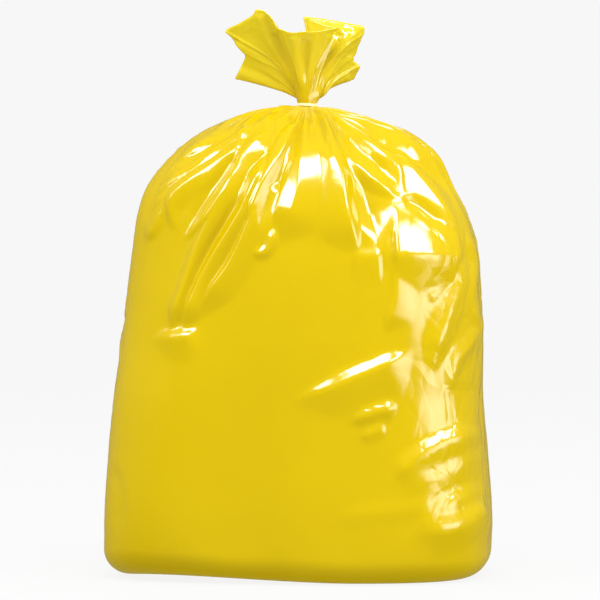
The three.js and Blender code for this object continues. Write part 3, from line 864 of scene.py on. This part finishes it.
DEEP_YELLOW = (0.515, 0.365, 0.0, 1.0)
BRIGHT_YELLOW = (0.56, 0.40, 0.0, 1.0)
# painted light: a lighter yellow on the single layer, standing in for light shining through the film
PAINTED_SHINE_THROUGH_YELLOW = (0.66, 0.51, 0.015, 1.0)
CRUMPLE_WARP = (0.09, 0.09, 0.09)  # metres by which the cells of the crumple are bent out of true
film_material, nodes, links = new_material("yellow_film")
shader = nodes["Principled BSDF"]
shader.inputs["Roughness"].default_value = 0.12
shader.inputs["Specular IOR Level"].default_value = 1.0
shader.inputs["IOR"].default_value = 1.6
shader.inputs["Subsurface Weight"].default_value = 0.12
shader.inputs["Subsurface Radius"].default_value = (0.02, 0.012, 0.002)
shader.inputs["Subsurface Scale"].default_value = 0.6
coordinates = nodes.new("ShaderNodeTexCoord")
cloud = nodes.new("ShaderNodeTexNoise")
cloud.inputs["Scale"].default_value = 5.0
cloud.inputs["Detail"].default_value = 3.0
tone = nodes.new("ShaderNodeValToRGB")
tone.color_ramp.elements[0].position = 0.3
tone.color_ramp.elements[0].color = DEEP_YELLOW
tone.color_ramp.elements[1].position = 0.75
tone.color_ramp.elements[1].color = BRIGHT_YELLOW
links.new(coordinates.outputs["Object"], cloud.inputs["Vector"])
links.new(cloud.outputs["Fac"], tone.inputs["Fac"])
# painted shine-through: where the film is a single layer the colour is mixed towards the lighter yellow, in place
# of light coming through it
thin = nodes.new("ShaderNodeAttribute")
thin.attribute_name = "single_layer"
painted_shine_through = nodes.new("ShaderNodeMix")
painted_shine_through.data_type = "RGBA"
painted_shine_through.inputs["B"].default_value = PAINTED_SHINE_THROUGH_YELLOW
links.new(thin.outputs["Fac"], painted_shine_through.inputs["Factor"])
links.new(tone.outputs["Color"], painted_shine_through.inputs["A"])
links.new(painted_shine_through.outputs["Result"], shader.inputs["Base Color"])
warp = nodes.new("ShaderNodeTexNoise")
warp.inputs["Scale"].default_value = 7.0
warp.inputs["Detail"].default_value = 2.0
shift = nodes.new("ShaderNodeVectorMath")
shift.operation = "MULTIPLY_ADD"
shift.inputs[1].default_value = CRUMPLE_WARP
links.new(coordinates.outputs["Object"], warp.inputs["Vector"])
links.new(warp.outputs["Color"], shift.inputs[0])
links.new(coordinates.outputs["Object"], shift.inputs[2])
crumple = nodes.new("ShaderNodeAttribute")
crumple.attribute_name = "crumple"


# %% Crumple the yellow film
def facets(stretch, depth, below):
    """Flat facets with sharp creases between them, as thin film takes when it is crumpled."""
    scaled = nodes.new("ShaderNodeVectorMath")
    scaled.operation = "MULTIPLY"
    scaled.inputs[1].default_value = stretch
    cells = nodes.new("ShaderNodeTexVoronoi")
    cells.feature = "DISTANCE_TO_EDGE"
    cells.inputs["Scale"].default_value = 1.0
    relief = nodes.new("ShaderNodeBump")
    relief.inputs["Distance"].default_value = depth
    links.new(shift.outputs["Vector"], scaled.inputs[0])
    links.new(scaled.outputs["Vector"], cells.inputs["Vector"])
    links.new(cells.outputs["Distance"], relief.inputs["Height"])
    links.new(crumple.outputs["Fac"], relief.inputs["Strength"])
    if below is not None:
        links.new(below.outputs["Normal"], relief.inputs["Normal"])
    return relief


COARSE_CELLS = (15.0, 15.0, 9.0)  # to the metre: taller than they are wide
FINE_CELLS = (40.0, 40.0, 24.0)
coarse = facets(COARSE_CELLS, 0.012, None)
fine = facets(FINE_CELLS, 0.003, coarse)
ripple = nodes.new("ShaderNodeTexNoise")
ripple.inputs["Scale"].default_value = 28.0
ripple.inputs["Detail"].default_value = 4.0
ripple.inputs["Roughness"].default_value = 0.45
bump = nodes.new("ShaderNodeBump")
bump.inputs["Strength"].default_value = 0.25
bump.inputs["Distance"].default_value = 0.0015
links.new(coordinates.outputs["Object"], ripple.inputs["Vector"])
links.new(ripple.outputs["Fac"], bump.inputs["Height"])
links.new(fine.outputs["Normal"], bump.inputs["Normal"])
links.new(bump.outputs["Normal"], shader.inputs["Normal"])
film.data.materials.append(film_material)
print("film material ready")

# %% Mix the pale strip
PALE_STRIP_DEEP = (0.86, 0.76, 0.30, 1.0)
PALE_STRIP_BRIGHT = (0.95, 0.90, 0.55, 1.0)
tie_material, nodes, links = new_material("pale_strip")
shader = nodes["Principled BSDF"]
shader.inputs["Roughness"].default_value = 0.35
speckle = nodes.new("ShaderNodeTexNoise")
speckle.inputs["Scale"].default_value = 90.0
tone = nodes.new("ShaderNodeValToRGB")
tone.color_ramp.elements[0].color = PALE_STRIP_DEEP
tone.color_ramp.elements[1].color = PALE_STRIP_BRIGHT
links.new(speckle.outputs["Fac"], tone.inputs["Fac"])
links.new(tone.outputs["Color"], shader.inputs["Base Color"])
tie.data.materials.append(tie_material)
tie_tail.data.materials.append(tie_material)
print("strip material ready")

# %% [markdown]
# ## Floor and light
# The sack stands on a plain pale floor in a pale room. Glossy film shows its lights as sharp white shapes, so
# the lights are large boxes with soft edges: three high in front, a dim one on each side and one behind. The
# floor sweeps up all round, so no horizon shows from any side, and its glow lights the sack evenly.


# %% Lay the floor, which sweeps up all round
STAGE_RADIUS = 7.0
STAGE_BEND = 2.0
STAGE_HEIGHT = 5.0
STAGE_SIDES = 96
FLOOR_DROP = -0.0005  # just under the sack, so the two faces don't flicker
FLOOR_GREY = (0.06, 0.06, 0.06, 1.0)
FLOOR_GLOW = 0.87
bend = np.linspace(0, np.pi / 2, 16)
stage_radii = [0.0, *(STAGE_RADIUS + STAGE_BEND * np.sin(bend)), STAGE_RADIUS + STAGE_BEND]
stage_heights = [0.0, *(STAGE_BEND * (1 - np.cos(bend))), STAGE_HEIGHT]
around_stage = np.linspace(0, 2 * np.pi, STAGE_SIDES, endpoint=False)
stage_rings = []
for radius, height in zip(stage_radii[1:], stage_heights[1:]):
    x, y = radius * np.cos(around_stage), radius * np.sin(around_stage)
    stage_rings.append(np.stack([x, y, np.full(STAGE_SIDES, height)], axis=-1))
stage_grid = np.array(stage_rings)
floor = grid_mesh("floor", stage_grid, [(0.0, 0.0, 0.0), (0.0, 0.0, STAGE_HEIGHT)])
floor.location.z = FLOOR_DROP
floor.visible_glossy = False
floor_material, nodes, links = new_material("pale_floor")
shader = nodes["Principled BSDF"]
shader.inputs["Base Color"].default_value = FLOOR_GREY
shader.inputs["Roughness"].default_value = 1.0
shader.inputs["Specular IOR Level"].default_value = 0.0
shader.inputs["Emission Color"].default_value = (1.0, 1.0, 1.0, 1.0)
shader.inputs["Emission Strength"].default_value = FLOOR_GLOW
floor.data.materials.append(floor_material)
print("floor reaches", STAGE_RADIUS + STAGE_BEND, "m from the sack")

# %% Light the room
ROOM_TINT = (1.0, 0.87, 0.35, 1.0)  # warm, as the sack throws its own yellow back at itself
world = bpy.data.worlds.new("room")
bpy.context.scene.world = world
world.use_nodes = True
nodes, links = world.node_tree.nodes, world.node_tree.links
background = nodes["Background"]
direction = nodes.new("ShaderNodeTexCoord")
parts = nodes.new("ShaderNodeSeparateXYZ")
glow = nodes.new("ShaderNodeMapRange")
glow.inputs["From Min"].default_value = -0.5
glow.inputs["From Max"].default_value = 1.0
glow.inputs["To Min"].default_value = 0.03
glow.inputs["To Max"].default_value = 0.42
rearward = nodes.new("ShaderNodeMath")
rearward.operation = "MULTIPLY_ADD"
rearward.inputs[1].default_value = 1.0
links.new(direction.outputs["Generated"], parts.inputs["Vector"])
links.new(parts.outputs["Y"], rearward.inputs[0])
links.new(parts.outputs["Z"], rearward.inputs[2])
links.new(rearward.outputs["Value"], glow.inputs["Value"])
links.new(glow.outputs["Result"], background.inputs["Strength"])
background.inputs["Color"].default_value = ROOM_TINT
print("room light ready")


# %% Hang the light boxes
def soft_panel(name, place, target, size, power, edge=0.1):
    """A rectangular light box. Its light falls off over the given share of its size next to each edge."""
    data = bpy.data.lights.new(name, "AREA")
    data.shape = "RECTANGLE"
    data.size, data.size_y = size
    data.energy = power
    data.use_nodes = True
    nodes, links = data.node_tree.nodes, data.node_tree.links
    glow = nodes["Emission"]
    face = nodes.new("ShaderNodeNewGeometry")
    split = nodes.new("ShaderNodeSeparateXYZ")
    links.new(face.outputs["Parametric"], split.inputs["Vector"])
    falloffs = []
    for axis in ("X", "Y"):
        spread = nodes.new("ShaderNodeMath")
        spread.operation = "PINGPONG"
        spread.inputs[1].default_value = 0.5
        links.new(split.outputs[axis], spread.inputs[0])
        ramp = nodes.new("ShaderNodeMapRange")
        ramp.interpolation_type = "SMOOTHSTEP"
        ramp.inputs["From Max"].default_value = edge
        links.new(spread.outputs["Value"], ramp.inputs["Value"])
        falloffs.append(ramp)
    both = nodes.new("ShaderNodeMath")
    both.operation = "MULTIPLY"
    links.new(falloffs[0].outputs["Result"], both.inputs[0])
    links.new(falloffs[1].outputs["Result"], both.inputs[1])
    links.new(both.outputs["Value"], glow.inputs["Strength"])
    panel = bpy.data.objects.new(name, data)
    panel.location = place
    aim = np.array(target, float) - np.array(place, float)
    aim /= np.linalg.norm(aim)
    panel.rotation_euler = (math.acos(-aim[2]), 0.0, math.atan2(-aim[0], aim[1]))
    bpy.context.scene.collection.objects.link(panel)
    return panel


soft_panel("left_panel", (-2.25, -1.8, 2.6), (0, 0, 0.42), (2.4, 0.9), 66)
soft_panel("middle_panel", (0.1, -1.9, 2.75), (0, 0, 0.42), (1.8, 0.8), 60)
soft_panel("right_panel", (2.25, -1.8, 2.6), (0, 0, 0.42), (2.4, 0.9), 66)
soft_panel("right_wall", (2.1, -1.2, 0.6), (0, 0, 0.35), (2.2, 1.6), 32, edge=0.4)
soft_panel("back_panel", (0.3, 2.8, 2.4), (0, 0, 0.35), (2.2, 1.0), 30, edge=0.4)
soft_panel("left_wall", (-2.5, -0.4, 1.7), (0, 0, 0.45), (1.3, 1.3), 14, edge=0.5)
bpy.context.scene.view_settings.view_transform = "Standard"

# %% [markdown]
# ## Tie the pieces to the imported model
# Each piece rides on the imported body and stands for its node, so the model keeps its mass and its contacts.

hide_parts("sack")
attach(film, "root")
for strip in (tie, tie_tail):
    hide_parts("neck_tie")
    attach(strip, "root")
